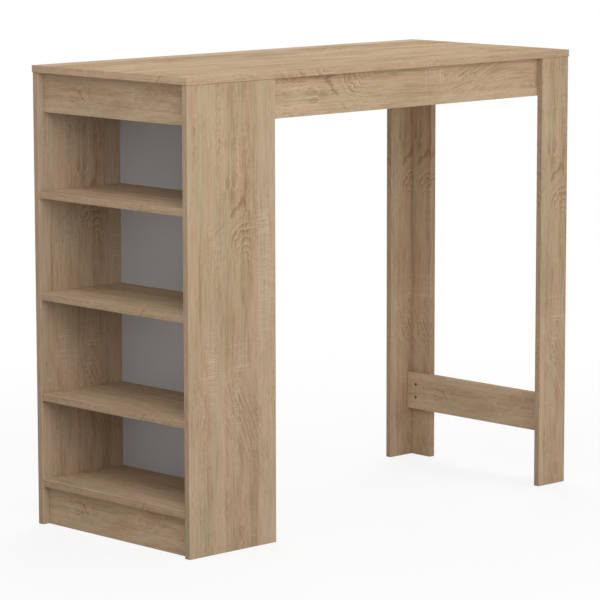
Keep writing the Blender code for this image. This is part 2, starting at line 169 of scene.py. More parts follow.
# Loops and arches of growth rings in the heart plank, and the noise that bends and breaks them
FIGURE_BEND_ALONG = Grain(17.0, 26.0, 9.0, reach=11.0)
FIGURE_BEND_ACROSS = Grain(18.0, 55.0, 30.0, reach=6.0)
FIGURE_PATCH = Grain(5.5, 34.0, 9.0)
FIGURE_PATCH_EDGE = (0.30, 0.60)
FIGURE_ELSEWHERE = 0.35
Loop = namedtuple("Loop", "across half_width start end")
LOOPS = (Loop(115.0, 8.5, 114.0, 231.0), Loop(135.5, 10.0, 114.0, 227.0))
LOOP_BLUNTNESS = 0.85  # 1 ends the loops in half circles
LOOP_RIM = 1.4
LOOP_RIM_TONE = 0.78
LOOP_RIM_RISE = (-20.0, 45.0)  # along from a loop's start
LOOP_INSIDE = (-4.5, -1.0)  # out from the rim, where the dark inside ends
LOOP_INSIDE_TONE = 0.38
LOOP_DARK_START = (18.0, 16.0)  # along from a loop's start, and reach
LOOP_DARK_START_SHARE = 0.7
LOOP_DARK_END = (-12.0, 18.0)  # along from a loop's end, and reach
ARCH = (379.0, 168.0)  # along and across at the foot of the arches
ARCH_SPACING = 10.0
ARCH_SQUIGGLE = Grain(2.0, 24.0, 17.0, reach=9.0)
ARCH_FLATNESS = 0.62  # 1 makes half circles
ARCH_RADIUS_END = (50.0, 66.0)
ARCH_HEIGHT = 46.0
ARCH_REACH = 46.0
ARCH_CUT = (174.0, 182.0)  # across, where the arches are cut off
ARCH_TONE = 1.25

# The knot: dark strokes that fall from it to both sides, with wood that is dark above them
KNOT = (254.0, 161.0)  # along, across
KNOT_SHAKE = Grain(6.0, 20.0, 13.0, reach=8.0)
KNOT_LEFT_SLOPE = -0.83
KNOT_RIGHT_SLOPE = 2.2
KNOT_STROKE = 4.8
KNOT_STROKE_SWELL = 5.5
KNOT_SWELL_RANGE = (-34.0, 6.0)  # across from the knot, as the next two
KNOT_NEAR = ((-48.0, -28.0), (3.0, 15.0))
KNOT_FAR = ((-115.0, -80.0), (-62.0, -40.0))
KNOT_NEAR_TONE = 0.78
KNOT_FAR_TONE = 0.28
KNOT_HALO = (-24.0, 4.0)  # along and across from the knot
KNOT_HALO_REACH = (22.0, 13.0)
KNOT_HALO_TONE = 0.20

# Marks of the saw: patches of pale lines across the grain, some single lines, and the seam of two planks
SAW_LINE = Grain(7.0, 3.4, 40.0, detail=1.0)
SAW_LINE_EDGE = (0.50, 0.66)
SAW_TONE = 1.35
SAW_PATCH = Grain(8.0, 130.0, 60.0)
SAW_PATCH_EDGE = (0.58, 0.72)
SAW_PATCH_SHARE = 0.6
SawPatch = namedtuple("SawPatch", "place reach")  # both along and across
SAW_PATCHES = (
    SawPatch((430.0, 226.0), (110.0, 22.0)),
    SawPatch((310.0, 218.0), (32.0, 34.0)),
    SawPatch((630.0, 70.0), (75.0, 14.0)),
)
CrossLine = namedtuple("CrossLine", "place length tone")
CROSS_LINES = (CrossLine((567.0, 138.0), 32.0, 0.35), CrossLine((615.0, 155.0), 26.0, 0.80))
CROSS_LINE_WIDTH = 1.7
CROSS_LINE_BEND = Grain(9.0, 30.0, 400.0, reach=3.0)  # its length lies across the grain
SEAM = (420.0, 35.0)  # along, across
SEAM_REACH = (95.0, 3.6)
SEAM_BEND = Grain(9.5, 60.0, 30.0, reach=2.5)
SEAM_TONE = 0.75

# Where each board was cut from the decor: decor along and across at the board's corner, which way along
# runs, the tone of its print, its contrast, the print's scale, and which way across runs. On the shelves
# and the front apron the tone is lighter as painted light, for light in the shaded bays and under the
# tabletop.
Cut = namedtuple("Cut", "along across run tone contrast scale turn", defaults=(1.0, 1.0, 1.0, 1))
BOARD_CUTS = {
    "side_panel_front": Cut(0.0, 0.0, -1, 0.97),
    "side_panel_rear": Cut(0.0, 0.0, -1),
    "leg_front_face": Cut(0.0, 90.0, -1, 1.05, 0.95),
    "leg_rear_face": Cut(0.0, 84.0, -1, 1.03),
    "leg_front_return": Cut(0.0, 330.0, -1),
    "leg_rear_return": Cut(0.0, 105.0, -1, 1.03, turn=-1),
    # The front apron's tone is lighter as painted light, for light under the tabletop's overhang
    "apron_front": Cut(-138.0, 83.0, 1, 1.11),
    "apron_rear": Cut(2040.0, 400.0, 1),
    "top_rail": Cut(10.0, 55.0, -1, 0.98, 1.05, 0.5),
    "plinth": Cut(10.0, 41.0, -1, 1.03, 1.05, 0.5),
    "end_apron": Cut(1310.0, 690.0, -1),
    "stretcher": Cut(12.0, 51.0, -1, 1.09, 0.95, 0.5),
    "tabletop": Cut(-60.0, -260.0, 1, 1.025, 1.40),
    # The shelves' tones are lighter as painted light, for light in the shaded bays
    "bottom_shelf": Cut(3400.0, 1200.0, -1, 1.15),
    "shelf_lower": Cut(4310.0, 1280.0, -1, 1.06),
    "shelf_middle": Cut(5150.0, 1475.0, -1, 1.03),
    "shelf_upper": Cut(6070.0, 1100.0, -1, 1.10),
}
# The bands along the boards' edges are cut a step across from the board's corner, or as listed here. Their
# tone is a share of the board's. On the shelves the share takes back much of their boards' painted light,
# and the tabletop's share is painted light: edges lighter where more light falls near the top.
BAND_STEP = 40.0
SMALL_BAND = Cut(0.0, 125.0, 1, scale=0.5)
LONG_BANDS = {
    "tabletop": Cut(-60.0, 128.0, 1),
    "bottom_shelf": SMALL_BAND,
    "shelf_lower": SMALL_BAND,
    "shelf_middle": SMALL_BAND,
    "shelf_upper": SMALL_BAND,
}
END_BANDS = {"tabletop": SMALL_BAND._replace(along=90.0)}
BAND_TINT = (1.0, 0.975, 1.0)
BAND_CONTRAST = 0.75
BAND_TONE = 0.92
BAND_TONES = {
    # The tabletop's edges are lighter as painted light, for the light that brightens towards the top
    "tabletop": 1.09,
    "bottom_shelf": 0.78,
    "shelf_lower": 0.85,
    "shelf_upper": 0.88,
    "leg_front_face": 0.85,
    "leg_rear_face": 0.86,
    "leg_rear_return": 0.84,
}
# Boards of the bays, tinted cooler as painted shade: the cool colour of the shade inside the bays
BAY_SHADE_BOARDS = ("side_panel_rear", "bottom_shelf", "shelf_lower", "shelf_middle", "shelf_upper")
BAY_SHADE_TINT = (0.99, 1.015, 1.07)

# Small fasteners that are not nodes of the part, in metres. Shanks, tips and heads are radii. A dome has
# parts of the head's radius and height.
ROUND_SIDES = 28
SHARP_EDGE = math.radians(35)
BRACKET_STEEL = 0.0018
BRACKET_HOLE_REACH = 0.016
SCREW_SHANK = 0.0017
SCREW_TIP = 0.0003
SCREW_LENGTH = 0.0125
SCREW_POINT_START = 0.8  # of the length
SCREW_HEAD = 0.0034
SCREW_HEAD_HEIGHT = 0.0022
SCREW_DOME = ((1.0, 0.0), (1.0, 0.28), (0.93, 0.62), (0.80, 0.86), (0.62, 1.0))
SCREW_DRIVE_SPAN = 0.0034  # length of each bar of the cross
SCREW_DRIVE_ARM = 0.0008
SCREW_DRIVE_DEPTH = 0.0013
SCREW_DRIVE_TAPER = 0.7  # size of the cross at its bottom
NAIL_COUNT = 5
NAIL_SHANK = 0.0006
NAIL_TIP = 0.00012
NAIL_LENGTH = 0.018
NAIL_POINT_START = 0.9  # of the length
NAIL_HEAD = 0.0017
NAIL_HEAD_HEIGHT = 0.0005
NAIL_DOME = ((1.0, 0.0), (1.0, 0.4), (0.85, 0.85), (0.5, 1.0))

MILLIMETRES = 1000.0
FACING = 0.6  # a surface faces along an axis where its normal has more than this of it
ROOT = "root"


class Shader:
    """Adds nodes to a node tree; its methods return output sockets, but for add and feed."""

    def __init__(self, tree):
        self.tree = tree

    def add(self, kind, **settings):
        node = self.tree.nodes.new(kind)
        for name, value in settings.items():
            setattr(node, name, value)
        return node

    def feed(self, socket, value):
        """Joins a socket to another, or sets it to a plain value."""
        if isinstance(value, bpy.types.NodeSocket):
            self.tree.links.new(value, socket)
        else:
            socket.default_value = value

    def maths(self, operation, first, second=0.0, third=0.0):
        node = self.add("ShaderNodeMath", operation=operation)
        for socket, value in zip(node.inputs, (first, second, third)):
            self.feed(socket, value)
        return node.outputs[0]

    def plus(self, first, second):
        return self.maths("ADD", first, second)

    def minus(self, first, second):
        return self.maths("SUBTRACT", first, second)

    def times(self, first, second):
        return self.maths("MULTIPLY", first, second)

    def step(self, value, low, high):
        """0 below low and 1 above high, with a smooth way between them."""
        node = self.add("ShaderNodeMapRange", interpolation_type="SMOOTHSTEP")
        self.feed(node.inputs["Value"], value)
        node.inputs["From Min"].default_value = low
        node.inputs["From Max"].default_value = high
        return node.outputs[0]

    def drop(self, value, low, high):
        """1 below low and 0 above high, with a smooth way between them."""
        return self.minus(1.0, self.step(value, low, high))

    def window(self, value, rise, fall):
        """1 between a rise and a fall, each with its low and high end."""
        return self.times(self.step(value, *rise), self.drop(value, *fall))

    def vector(self, x, y, z):
        node = self.add("ShaderNodeCombineXYZ")
        for socket, value in zip(node.inputs, (x, y, z)):
            self.feed(socket, value)
        return node.outputs[0]

    def parts(self, vector):
        """The X, Y and Z of a vector."""
        node = self.add("ShaderNodeSeparateXYZ")
        self.feed(node.inputs[0], vector)
        return node.outputs

    def place(self):
        return self.add("ShaderNodeTexCoord").outputs["Object"]

    def normal(self):
        return self.add("ShaderNodeNewGeometry").outputs["True Normal"]

    def noise(self, vector, detail=2.0, roughness=0.5):
        node = self.add("ShaderNodeTexNoise", noise_dimensions="3D")
        self.feed(node.inputs["Vector"], vector)
        node.inputs["Scale"].default_value = 1.0
        node.inputs["Detail"].default_value = detail
        node.inputs["Roughness"].default_value = roughness
        return node.outputs[0]

    def spots(self, per_metre, detail):
        """Round spots of noise, so many to the metre."""
        scaled = self.add("ShaderNodeVectorMath", operation="SCALE")
        self.feed(scaled.inputs[0], self.place())
        scaled.inputs["Scale"].default_value = per_metre
        return self.noise(scaled.outputs[0], detail)

    def mix(self, factor, first, second, blend="MIX"):
        node = self.add("ShaderNodeMix", data_type="RGBA", blend_type=blend)
        self.feed(node.inputs["Factor"], factor)
        self.feed(node.inputs[6], first)
        self.feed(node.inputs[7], second)
        return node.outputs[2]

    def bump(self, height, strength):
        node = self.add("ShaderNodeBump")
        node.inputs["Strength"].default_value = strength
        node.inputs["Distance"].default_value = BUMP_DEPTH
        self.feed(node.inputs["Height"], height)
        return node.outputs[0]

    def diffuse(self, colour):
        node = self.add("ShaderNodeBsdfDiffuse")
        node.inputs["Color"].default_value = opaque(colour)
        return node.outputs[0]

    def blend(self, factor, first, second):
        """Two surfaces mixed into one."""
        node = self.add("ShaderNodeMixShader")
        for socket, value in zip(node.inputs, (factor, first, second)):
            self.feed(socket, value)
        return node.outputs[0]


def opaque(colour):
    return (*colour, 1.0)


def toned(colour, tone):
    """A colour made lighter or darker by a factor, as an opaque one."""
    return opaque(part * tone for part in colour)


def centred(shader, value, reach):
    """Noise moved to lie about zero, with the given reach."""
    return shader.times(shader.minus(value, 0.5), 2 * reach)


def grain_noise(shader, along, across, grain, shift=None):
    """Noise with spots along the grain. A shift gives other noise of the same kind."""
    layer = grain.seed if shift is None else shader.plus(shift, grain.seed)
    lengths = shader.times(along, 1 / grain.length)
    widths = shader.times(across, 1 / grain.width)
    return shader.noise(shader.vector(lengths, widths, layer), grain.detail, grain.roughness)


def wobble(shader, along, across, grain, shift=None):
    """The same noise about zero, as far as it reaches."""
    return centred(shader, grain_noise(shader, along, across, grain, shift), grain.reach)


def patches(shader, along, across, grain, edge, shift=None):
    """1 in patches of the same noise, and 0 elsewhere."""
    return shader.step(grain_noise(shader, along, across, grain, shift), *edge)


def patchy(shader, patch, elsewhere):
    """1 in a patch, and a smaller share elsewhere."""
    return shader.plus(elsewhere, shader.times(patch, 1.0 - elsewhere))


def bell(shader, value, centre, width):
    """1 at the centre, fading to nothing over about the width."""
    offset = shader.times(shader.minus(value, centre), 1 / width)
    return shader.maths("EXPONENT", shader.times(shader.times(offset, offset), -1.0))


def spot(shader, along, across, place, reach):
    """1 at a place along and across, fading to nothing over about the reach."""
    return shader.times(bell(shader, along, place[0], reach[0]), bell(shader, across, place[1], reach[1]))


def length_of(shader, first, second):
    return shader.maths("SQRT", shader.plus(shader.times(first, first), shader.times(second, second)))


def nested_lines(shader, radius, spacing):
    """Pale lines with a dark side, at every spacing of a radius."""
    ring = shader.maths("FRACT", shader.times(radius, 1 / spacing))
    dark = shader.times(shader.window(ring, *RING_DARK), RING_DARK_TONE)
    pale = shader.times(shader.window(ring, *RING_PALE), RING_PALE_TONE)
    return shader.minus(pale, dark)


def loop_figure(shader, along, across, loop):
    """A long loop of a growth ring that the saw just touched, dark at its ends."""
    first = loop.start + loop.half_width
    last = loop.end - loop.half_width
    inner = shader.maths("MINIMUM", shader.maths("MAXIMUM", along, first), last)
    past = shader.times(shader.minus(along, inner), LOOP_BLUNTNESS)
    radius = length_of(shader, shader.minus(across, loop.across), past)
    rise = [loop.start + end for end in LOOP_RIM_RISE]
    rim = shader.times(bell(shader, radius, loop.half_width, LOOP_RIM), shader.step(along, *rise))
    inside = shader.drop(radius, *(loop.half_width + end for end in LOOP_INSIDE))
    dark_start = bell(shader, along, loop.start + LOOP_DARK_START[0], LOOP_DARK_START[1])
    dark_end = bell(shader, along, loop.end + LOOP_DARK_END[0], LOOP_DARK_END[1])
    dark_ends = shader.plus(dark_end, shader.times(dark_start, LOOP_DARK_START_SHARE))
    dark = shader.times(shader.times(inside, dark_ends), LOOP_INSIDE_TONE)
    return shader.minus(shader.times(rim, LOOP_RIM_TONE), dark)


def arch_figure(shader, along, across):
    """Wavy arches of growth rings under the knot."""
    foot_along, foot_across = ARCH
    over = shader.maths("MINIMUM", shader.minus(along, foot_along), 0.0)
    radius = length_of(shader, shader.minus(across, foot_across), shader.times(over, ARCH_FLATNESS))
    radius = shader.plus(radius, wobble(shader, along, across, ARCH_SQUIGGLE))
    lines = nested_lines(shader, radius, ARCH_SPACING)
    crown = bell(shader, along, foot_along - ARCH_HEIGHT, ARCH_REACH)
    crown = shader.times(crown, shader.drop(radius, *ARCH_RADIUS_END))
    uncut = shader.times(shader.drop(across, *ARCH_CUT), ARCH_TONE)
    return shader.times(shader.times(lines, crown), uncut)


def heart_figure(shader, along, across):
    """The figure of the heart plank, bent and broken by noise."""
    bent_along = shader.plus(along, wobble(shader, along, across, FIGURE_BEND_ALONG))
    bent_across = shader.plus(across, wobble(shader, along, across, FIGURE_BEND_ACROSS))
    figures = [loop_figure(shader, bent_along, bent_across, loop) for loop in LOOPS]
    figures.append(arch_figure(shader, along, bent_across))
    patch = patches(shader, along, across, FIGURE_PATCH, FIGURE_PATCH_EDGE)
    return shader.times(reduce(shader.plus, figures), patchy(shader, patch, FIGURE_ELSEWHERE))


def knot_figure(shader, along, across):
    """Dark strokes that fall to both sides of the knot, and the dark wood above them."""
    below = shader.minus(along, KNOT[0])
    right = shader.minus(across, KNOT[1])
    left_fall = shader.times(right, KNOT_LEFT_SLOPE)
    right_fall = shader.times(right, KNOT_RIGHT_SLOPE)
    shaken = shader.plus(below, wobble(shader, along, across, KNOT_SHAKE))
    off_stroke = shader.minus(shaken, shader.maths("MAXIMUM", left_fall, right_fall))
    swell = shader.times(shader.step(right, *KNOT_SWELL_RANGE), KNOT_STROKE_SWELL)
    width = shader.plus(KNOT_STROKE, swell)
    stroke = bell(shader, shader.maths("DIVIDE", off_stroke, width), 0.0, 1.0)
    near = shader.times(shader.window(right, *KNOT_NEAR), KNOT_NEAR_TONE)
    far = shader.times(shader.window(right, *KNOT_FAR), KNOT_FAR_TONE)
    strokes = shader.times(stroke, shader.plus(near, far))
    halo = shader.times(spot(shader, below, right, KNOT_HALO, KNOT_HALO_REACH), KNOT_HALO_TONE)
    return shader.times(shader.plus(strokes, halo), -1.0)


def ring_figure(shader, along, across, plank, plank_luck):
    """Growth rings on the plain planks: faint lines, here and there closing to arches."""
    middle = shader.plus(shader.times(shader.plus(plank, RING_MIDDLE), PLANK_WIDTH), HEART_PLANK_START)
    off_middle = shader.minus(across, middle)
    for bend in (RING_WANDER, RING_JITTER, RING_FRAY):
        off_middle = shader.plus(off_middle, wobble(shader, along, across, bend))
    arch = shader.minus(grain_noise(shader, along, plank_luck, RING_ARCH), RING_ARCH_START)
    depth = shader.times(shader.maths("MAXIMUM", arch, 0.0), RING_ARCH_DEPTH)
    radius = shader.plus(length_of(shader, off_middle, depth), wobble(shader, along, across, RING_UNREST))
    patch = patches(shader, along, across, RING_PATCH, RING_PATCH_EDGE)
    share = shader.plus(shader.times(patch, RING_PATCH_SHARE), RING_SHARE)
    return shader.times(nested_lines(shader, radius, RING_WIDTH), share)


def saw_marks(shader, along, across):
    """Pale lines that a saw left across the grain, and the dark seam between two planks."""
    lines = patches(shader, along, across, SAW_LINE, SAW_LINE_EDGE)
    patch = shader.times(patches(shader, along, across, SAW_PATCH, SAW_PATCH_EDGE), SAW_PATCH_SHARE)
    for place, reach in SAW_PATCHES:
        patch = shader.maths("MAXIMUM", patch, spot(shader, along, across, place, reach))
    tone = shader.times(shader.times(lines, patch), SAW_TONE)
    crooked = shader.plus(along, wobble(shader, across, along, CROSS_LINE_BEND))
    for line in CROSS_LINES:
        mark = spot(shader, crooked, across, line.place, (CROSS_LINE_WIDTH, line.length))
        tone = shader.plus(tone, shader.times(mark, line.tone))
    off_seam = shader.plus(across, wobble(shader, along, across, SEAM_BEND))
    return shader.minus(tone, shader.times(spot(shader, along, off_seam, SEAM, SEAM_REACH), SEAM_TONE))


def is_plank(shader, plank, number):
    return shader.maths("COMPARE", plank, number, 0.5)


def decor_colour(shader, along, across, tone, plank_luck):
    """Oak from dark to pale, with a tint that differs from place to place."""
    lift = shader.maths("MAXIMUM", tone, 0.0)
    sink = shader.maths("MAXIMUM", shader.times(tone, -1.0), 0.0)
    colour = shader.mix(lift, opaque(OAK_MID), opaque(OAK_PALE))
    colour = shader.mix(sink, colour, opaque(OAK_DARK))
    olive = patches(shader, along, across, OLIVE_PATCH, OLIVE_PATCH_EDGE, plank_luck)
    colour = shader.mix(olive, colour, opaque(OLIVE_WOOD), "MULTIPLY")
    pink = patches(shader, along, across, PINK_PATCH, PINK_PATCH_EDGE, plank_luck)
    tint = shader.mix(pink, opaque(GREEN_WOOD), opaque(PINK_WOOD))
    return shader.mix(1.0, colour, tint, "MULTIPLY")


def make_oak_decor():
    """Node group: the printed oak decor, in millimetres along and across the grain."""
    group = bpy.data.node_groups.new("oak_decor", "ShaderNodeTree")
    for name in ("Along", "Across", "Contrast"):
        group.interface.new_socket(name, in_out="INPUT", socket_type="NodeSocketFloat")
    group.interface.new_socket("Colour", in_out="OUTPUT", socket_type="NodeSocketColor")
    group.interface.new_socket("Pores", in_out="OUTPUT", socket_type="NodeSocketFloat")
    shader = Shader(group)
    along, across, contrast = shader.add("NodeGroupInput").outputs[:3]

    plank = shader.maths("FLOOR", shader.times(shader.minus(across, HEART_PLANK_START), 1 / PLANK_WIDTH))
    luck = shader.add("ShaderNodeTexWhiteNoise", noise_dimensions="1D")
    shader.feed(luck.inputs["W"], shader.plus(plank, PLANK_SEED))
    plank_luck = luck.outputs["Value"]
    in_heart = is_plank(shader, plank, HEART_PLANK)
    in_plain = shader.minus(1.0, in_heart)

    swing = shader.times(shader.step(along, *FAN), FAN_SWING)
    slanted = shader.minus(across, shader.times(swing, in_heart))
    fan_strokes = bell(shader, along, FAN[0] + FAN_STROKES_FROM_START, FAN_STROKES_REACH)
    in_fan = shader.times(fan_strokes, in_heart)
    fleck_patch = patches(shader, along, across, FLECK_PATCH, FLECK_PATCH_EDGE)
    flecked = patchy(shader, fleck_patch, FLECK_ELSEWHERE)
    fibre = grain_noise(shader, along, slanted, FIBRE)
    pore = patches(shader, along, slanted, PORE, PORE_EDGE)

    tones = [
        shader.times(heart_figure(shader, along, across), in_heart),
        shader.times(ring_figure(shader, along, across, plank, plank_luck), in_plain),
        knot_figure(shader, along, across),
        saw_marks(shader, along, across),
    ]
    for number, shade in PLANK_SHADES.items():
        tones.append(shader.times(is_plank(shader, plank, number), shade))
    tones += [
        centred(shader, plank_luck, PLANK_REACH),
        wobble(shader, along, across, STRIPE, shader.times(plank_luck, STRIPE_LUCK)),
        wobble(shader, along, slanted, STREAK),
        wobble(shader, along, slanted, HAIR),
        centred(shader, fibre, FIBRE.reach),
        wobble(shader, along, across, CLOUD),
        shader.times(wobble(shader, along, slanted, FAN_STROKE), in_fan),
        shader.times(wobble(shader, along, slanted, FLECK), flecked),
        shader.times(pore, PORE_TONE),
    ]
    tone = shader.times(reduce(shader.plus, tones), contrast)

    result = shader.add("NodeGroupOutput")
    shader.feed(result.inputs[0], decor_colour(shader, along, across, tone, plank_luck))
    shader.feed(result.inputs[1], shader.plus(pore, shader.times(fibre, FIBRE_DEPTH)))
    return group


def empty_material(name):
    """A material whose nodes are still to be added."""
    material = bpy.data.materials.new(name)
    material.use_nodes = True
    material.node_tree.nodes.clear()
    return material, Shader(material.node_tree)


def show(shader, surface):
    """Joins a surface to the material's output."""
    output = shader.add("ShaderNodeOutputMaterial")
    shader.feed(output.inputs["Surface"], surface)


def new_material(name):
    """A material with a Principled shader, and the inputs of that shader."""
    material, shader = empty_material(name)
    surface = shader.add("ShaderNodeBsdfPrincipled")
    show(shader, surface.outputs[0])
    return material, shader, surface.inputs


def board_axes(node):
    """A board's length, width and thickness axes, as 0, 1 or 2 for X, Y or Z."""
    low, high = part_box(node)
    return sorted(range(3), key=lambda axis: low[axis] - high[axis])


def oak_material(node, decor):
    """Decor printed on the faces of one board, and on the bands along its edges."""
    material, shader, surface = new_material(f"oak_{node}")
    length_axis, width_axis, thickness_axis = board_axes(node)
    low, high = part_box(node)
    cut = BOARD_CUTS[node]
    next_strip = cut._replace(across=cut.across + BAND_STEP)
    long_band = LONG_BANDS.get(node, next_strip)
    end_band = END_BANDS.get(node, next_strip._replace(along=cut.across, run=cut.turn))
    place = shader.parts(shader.place())
    normal = shader.parts(shader.normal())

    def faces(axis):
        """1 where the surface faces along an axis."""
        return shader.maths("GREATER_THAN", shader.maths("ABSOLUTE", normal[axis]), FACING)

    def run_of(axis, sign, offset, scale):
        """Decor millimetres along one axis of the board, from the end where they are the offset."""
        start = high if sign < 0 else low
        from_start = shader.minus(place[axis], start[axis])
        return shader.plus(shader.times(from_start, sign * MILLIMETRES / scale), offset)

    def printed(piece, along_axis, across_axis):
        """Decor along and across on a face that was cut as a piece says."""
        along = run_of(along_axis, piece.run, piece.along, piece.scale)
        return along, run_of(across_axis, piece.turn, piece.across, piece.scale)

    def choose(factor, plain, other):
        return shader.plus(shader.times(other, factor), shader.times(plain, shader.minus(1.0, factor)))

    on_end = faces(length_axis)
    on_face = faces(thickness_axis)
    on_board = printed(cut, length_axis, width_axis)
    on_long_band = printed(long_band._replace(turn=1), length_axis, thickness_axis)
    on_end_band = printed(end_band._replace(turn=1), width_axis, thickness_axis)
    print_node = shader.add("ShaderNodeGroup", node_tree=decor)
    for name, board, long_edge, end in zip(("Along", "Across"), on_board, on_long_band, on_end_band):
        shader.feed(print_node.inputs[name], choose(on_face, choose(on_end, long_edge, end), board))
    shader.feed(print_node.inputs["Contrast"], choose(on_face, BAND_CONTRAST, cut.contrast))
    # The bays' boards get a painted shade tint, and the tones carry painted light on the shelves, the
    # front apron and the tabletop's edges
    painted_shade_tint = BAY_SHADE_TINT if node in BAY_SHADE_BOARDS else WHITE
    band_tone = cut.tone * BAND_TONES.get(node, BAND_TONE)
    tones = shader.mix(on_face, toned(BAND_TINT, band_tone), toned(painted_shade_tint, cut.tone))
    shader.feed(surface["Base Color"], shader.mix(1.0, print_node.outputs["Colour"], tones, "MULTIPLY"))
    pores = print_node.outputs["Pores"]
    shader.feed(surface["Roughness"], shader.plus(OAK_ROUGHNESS, shader.times(pores, OAK_PORE_ROUGHNESS)))
    surface["Specular IOR Level"].default_value = 0.0
    shader.feed(surface["Normal"], shader.bump(shader.times(pores, -1.0), OAK_BUMP))
    return material


def hardboard_material():
    """White lacquered hardboard with a faint mottle and orange peel; its side in the bays has a cooler
    tint painted in as shade.
    """
    material, shader, surface = new_material("white_hardboard")
    mottle = shader.spots(HARDBOARD_SPOTS, 3.0)
    peel = shader.spots(HARDBOARD_PEEL, 2.0)
    on_rear = shader.maths("GREATER_THAN", shader.parts(shader.normal())[0], FACING)
    white = shader.mix(on_rear, opaque(HARDBOARD_WHITE_AND_BAY_SHADE), opaque(HARDBOARD_REAR))
    shaded = shader.mix(1.0, white, toned(WHITE, HARDBOARD_MOTTLE), "MULTIPLY")
    shader.feed(surface["Base Color"], shader.mix(mottle, shaded, white))
    peel_roughness = shader.times(peel, HARDBOARD_PEEL_ROUGHNESS)
    shader.feed(surface["Roughness"], shader.plus(HARDBOARD_ROUGHNESS, peel_roughness))
    shader.feed(surface["Normal"], shader.bump(peel, HARDBOARD_BUMP))
    return material


def metal_material(name, metal):
    """Plated or burnished metal with uneven sheen."""
    material, shader, surface = new_material(name)
    spots = shader.spots(METAL_SPOTS, 3.0)
    dull = toned(metal.colour, METAL_DULL)
    shader.feed(surface["Base Color"], shader.mix(spots, dull, opaque(metal.colour)))
    shader.feed(surface["Roughness"], shader.plus(metal.roughness, centred(shader, spots, metal.spread)))
    surface["Metallic"].default_value = 1.0
    return material


def beech_material():
    """Raw beech of the dowels, with short dark flecks along them."""
    material, shader, surface = new_material("beech")
    place = zip(shader.parts(shader.place()), BEECH_FLECKS)
    fleck = shader.noise(shader.vector(*(shader.times(part, flecks) for part, flecks in place)))
    shader.feed(surface["Base Color"], shader.mix(fleck, opaque(BEECH_DARK), opaque(BEECH_PALE)))
    surface["Roughness"].default_value = BEECH_ROUGHNESS
    return material


def dress(node, material):
    """Gives a CAD node its material."""
    node.data.materials.clear()
    node.data.materials.append(material)


def dress_nodes():
    """Gives every CAD node its material, and returns those that are not oak."""
    decor = make_oak_decor()
    materials = {slot: metal_material(slot, metal) for slot, metal in METALS.items()}
    materials["white_hardboard"] = hardboard_material()
    materials["beech"] = beech_material()
    slots = {row["node"]: row["material_slot"] for row in frame["record"]["subparts"]}
    for name, node in frame["nodes"].items():
        if slots[name] in materials:
            dress(node, materials[slots[name]])
        else:
            dress(node, oak_material(name, decor))
    return materials


def turned(profile):
    """A shape turned about Z from (radius, height) points, open at both ends, and its rings of points."""
    shape = bmesh.new()
    turns = [step / ROUND_SIDES * math.tau for step in range(ROUND_SIDES)]
    rings = []
    for radius, height in profile:
        points = [(radius * math.cos(turn), radius * math.sin(turn), height) for turn in turns]
        rings.append([shape.verts.new(point) for point in points])
    for lower, upper in zip(rings, rings[1:]):
        for step in range(ROUND_SIDES):
            after = (step + 1) % ROUND_SIDES
            shape.faces.new((lower[step], lower[after], upper[after], upper[step]))
    return shape, rings


def cross_loop(shape, height, scale):
    """The points of a plus sign, for a driver's recess."""
    half = SCREW_DRIVE_ARM / 2 * scale
    reach = SCREW_DRIVE_SPAN / 2 * scale
    loop = []
    for quarter in range(4):
        turn = Matrix.Rotation(quarter * math.pi / 2, 3, "Z")
        for corner in ((half, half), (half, reach), (-half, reach)):
            loop.append(shape.verts.new(turn @ Vector((*corner, height))))
    return loop


def loop_edges(shape, loop):
    """The edges round a loop of points, made where they are missing."""
    edges = []
    for first, second in zip(loop, loop[1:] + loop[:1]):
        edges.append(shape.edges.get((first, second)) or shape.edges.new((first, second)))
    return edges


def finished_mesh(shape, name):
    bmesh.ops.recalc_face_normals(shape, faces=shape.faces)
    mesh = bpy.data.meshes.new(name)
    shape.to_mesh(mesh)
    shape.free()
    mesh.shade_smooth()
    mesh.set_sharp_from_angle(angle=SHARP_EDGE)
    return mesh


def pan_head_screw():
    """Screw along Z with a domed head above Z = 0, a cross recess and a point."""
    point_start = -SCREW_LENGTH * SCREW_POINT_START
    profile = [(SCREW_TIP, -SCREW_LENGTH), (SCREW_SHANK, point_start), (SCREW_SHANK, 0.0)]
    profile += [(SCREW_HEAD * part, SCREW_HEAD_HEIGHT * rise) for part, rise in SCREW_DOME]
    shape, rings = turned(profile)
    shape.faces.new(rings[0])
    top = SCREW_HEAD_HEIGHT * SCREW_DOME[-1][1]
    rim = cross_loop(shape, top, 1.0)
    edges = loop_edges(shape, rings[-1]) + loop_edges(shape, rim)
    bmesh.ops.triangle_fill(shape, use_beauty=True, edges=edges, normal=(0, 0, 1))
    pit = cross_loop(shape, top - SCREW_DRIVE_DEPTH, SCREW_DRIVE_TAPER)
    for step in range(len(rim)):
        after = (step + 1) % len(rim)
        shape.faces.new((rim[step], rim[after], pit[after], pit[step]))
    shape.faces.new(pit)
    return finished_mesh(shape, "pan_head_screw")


def wire_nail():
    """Nail along Z with a flat round head above Z = 0."""
    point_start = -NAIL_LENGTH * NAIL_POINT_START
    profile = [(NAIL_TIP, -NAIL_LENGTH), (NAIL_SHANK, point_start), (NAIL_SHANK, 0.0)]
    profile += [(NAIL_HEAD * part, NAIL_HEAD_HEIGHT * rise) for part, rise in NAIL_DOME]
    shape, rings = turned(profile)
    shape.faces.new(rings[0])
    shape.faces.new(rings[-1])
    return finished_mesh(shape, "wire_nail")


def drive_in(name, mesh, place, outward):
    """Puts a fastener's head at a place, with its shank away from the outward direction."""
    piece = bpy.data.objects.new(name, mesh)
    bpy.context.collection.objects.link(piece)
    turn = outward.to_track_quat("Z", "Y").to_matrix().to_4x4()
    piece.matrix_world = Matrix.Translation(place) @ turn
    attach(piece, ROOT)


